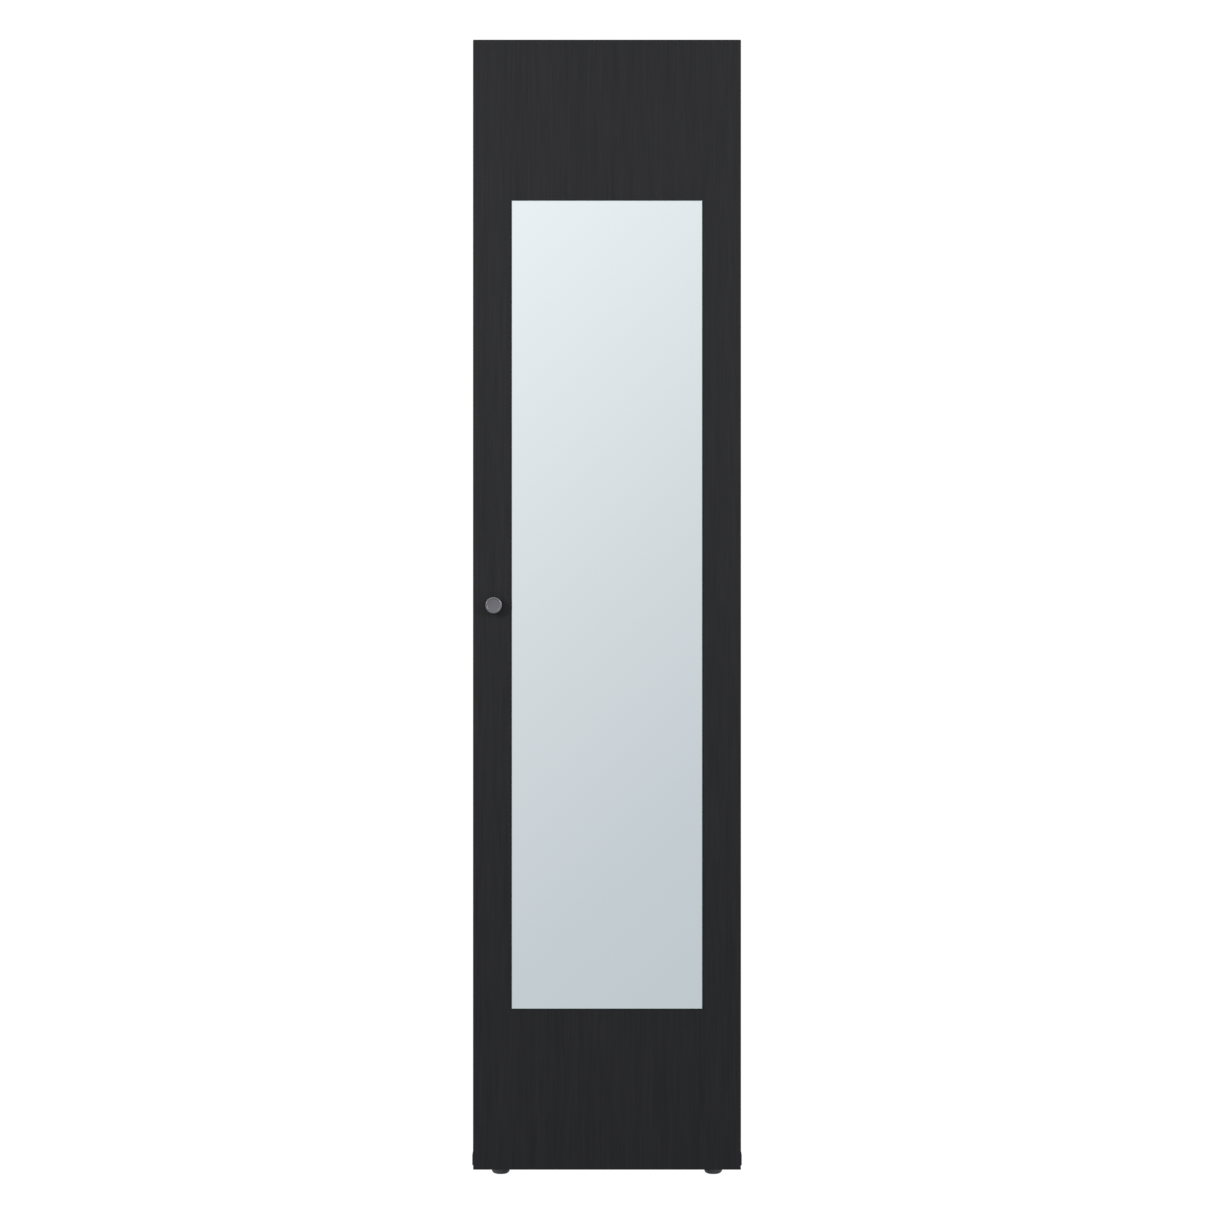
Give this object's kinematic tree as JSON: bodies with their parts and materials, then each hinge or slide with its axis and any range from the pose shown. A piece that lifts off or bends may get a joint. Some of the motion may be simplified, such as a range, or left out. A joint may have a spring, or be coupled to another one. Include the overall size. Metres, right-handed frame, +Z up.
{
  "type": "wardrobe",
  "caption": "Tall narrow wardrobe with a full-height hinged mirror door, a round knob, a hat shelf, a clothes rail, a lower shelf and levelling feet.",
  "frame": {"origin": "centre of the bounding box at floor level", "axes": "+X to the right seen from the front, +Y towards the wall behind, +Z up"},
  "size_m": [0.4728, 0.592, 1.996],
  "materials": {
    "foil_board": "anthracite melamine foil with a fine upright grain on particle board",
    "door_foil": "anthracite melamine foil with a fine upright grain, matt",
    "hardboard": "hardboard, printed dark on its inner face",
    "beech": "plain fluted beech",
    "dark_plastic": "moulded, satin",
    "grey_plastic": "moulded, satin",
    "zinc": "zinc-plated, satin",
    "nickel": "nickel-plated, bright satin",
    "rail_chrome": "polished chrome plate",
    "mirror": "silvered float glass, ground edges",
    "foam_tape": "white closed-cell foam",
    "knob_metal": "satin grey metal",
    "silicone": "clear soft silicone",
    "ferrite": "sintered ferrite",
    "galvanised": "galvanised sheet"
  },
  "bodies": {
    "carcass": {"side_panel_left": "foil_board", "side_panel_right": "foil_board", "top_panel": "foil_board", "bottom_panel": "foil_board", "hat_shelf": "foil_board", "lower_shelf": "foil_board", "back_panel_lower": "hardboard", "back_panel_upper": "hardboard", "back_joint_strip": "dark_plastic", "back_wedges": "grey_plastic", "cam_locks": "zinc", "cam_dowels": "zinc", "cam_covers": "dark_plastic", "wood_dowels": "beech", "shelf_pins": "nickel", "clothes_rail": "rail_chrome", "rail_socket_left": "grey_plastic", "rail_socket_right": "grey_plastic", "rail_socket_screws": "zinc", "foot_bushes": "dark_plastic", "foot_access_caps": "dark_plastic", "hinge_arms": "nickel", "hinge_plates": "nickel", "hinge_plate_screws": "zinc", "hinge_arm_screws": "zinc", "catch_body": "dark_plastic", "catch_magnet": "ferrite", "catch_pole_plates": "galvanised", "catch_screws": "zinc", "wall_bracket": "galvanised", "wall_bracket_screws": "zinc", "corner_shoe_front_left": "dark_plastic", "corner_shoe_front_right": "dark_plastic", "corner_shoe_rear_left": "dark_plastic", "corner_shoe_rear_right": "dark_plastic"},
    "door": {"door_panel": "door_foil", "mirror_glass": "mirror", "mirror_tape": "foam_tape", "knob": "knob_metal", "knob_screw": "zinc", "door_bumpers": "silicone", "strike_plate": "galvanised", "strike_screw": "zinc", "hinge_cups": "nickel", "hinge_pins": "nickel", "hinge_cup_screws": "zinc"},
    "foot_front_left": {"foot_pad_front_left": "dark_plastic", "foot_stem_front_left": "zinc"},
    "foot_front_right": {"foot_pad_front_right": "dark_plastic", "foot_stem_front_right": "zinc"},
    "foot_rear_left": {"foot_pad_rear_left": "dark_plastic", "foot_stem_rear_left": "zinc"},
    "foot_rear_right": {"foot_pad_rear_right": "dark_plastic", "foot_stem_rear_right": "zinc"}
  },
  "joints": [
    {"name": "door_swing", "type": "hinge", "parent": "carcass", "child": "door", "pos_m": [0.226, -0.2664, 1], "axis": [0, 0, 1], "range_deg": [0, 95]},
    {"name": "foot_front_left_levelling", "type": "slide", "parent": "carcass", "child": "foot_front_left", "axis": [0, 0, -1], "range_m": [0, 0.01]},
    {"name": "foot_front_right_levelling", "type": "slide", "parent": "carcass", "child": "foot_front_right", "axis": [0, 0, -1], "range_m": [0, 0.01]},
    {"name": "foot_rear_left_levelling", "type": "slide", "parent": "carcass", "child": "foot_rear_left", "axis": [0, 0, -1], "range_m": [0, 0.01]},
    {"name": "foot_rear_right_levelling", "type": "slide", "parent": "carcass", "child": "foot_rear_right", "axis": [0, 0, -1], "range_m": [0, 0.01]}
  ]
}
